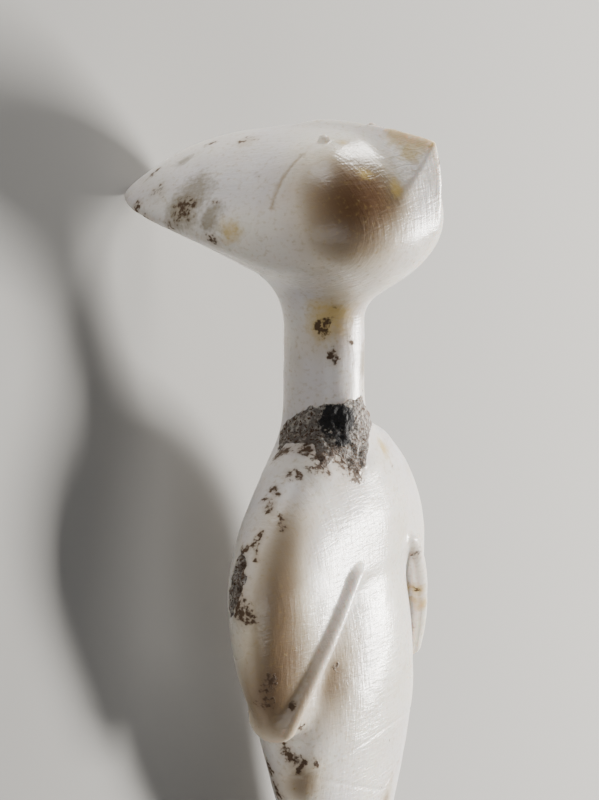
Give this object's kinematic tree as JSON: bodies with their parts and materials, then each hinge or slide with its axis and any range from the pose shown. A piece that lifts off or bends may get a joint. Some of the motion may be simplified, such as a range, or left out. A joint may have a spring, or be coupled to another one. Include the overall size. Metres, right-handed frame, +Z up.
{
  "type": "stargazer figurine",
  "caption": "Small carved marble stargazer idol lying on its back: tilted-back head with wedge nose and pellet eyes, slim neck, wing-like folded arms, tapering closed legs.",
  "frame": {"origin": "centre of the overall bounding box at the ground, with the figurine lying on its back", "axes": "+Y from the feet towards the head, +Z up through the chest, +X towards the figure's left arm"},
  "size_m": [0.069, 0.1774, 0.0583],
  "materials": {
    "marble": "polished by wear, with brown and black burial crust"
  },
  "bodies": {
    "root": {"figurine": "marble"}
  },
  "joints": []
}
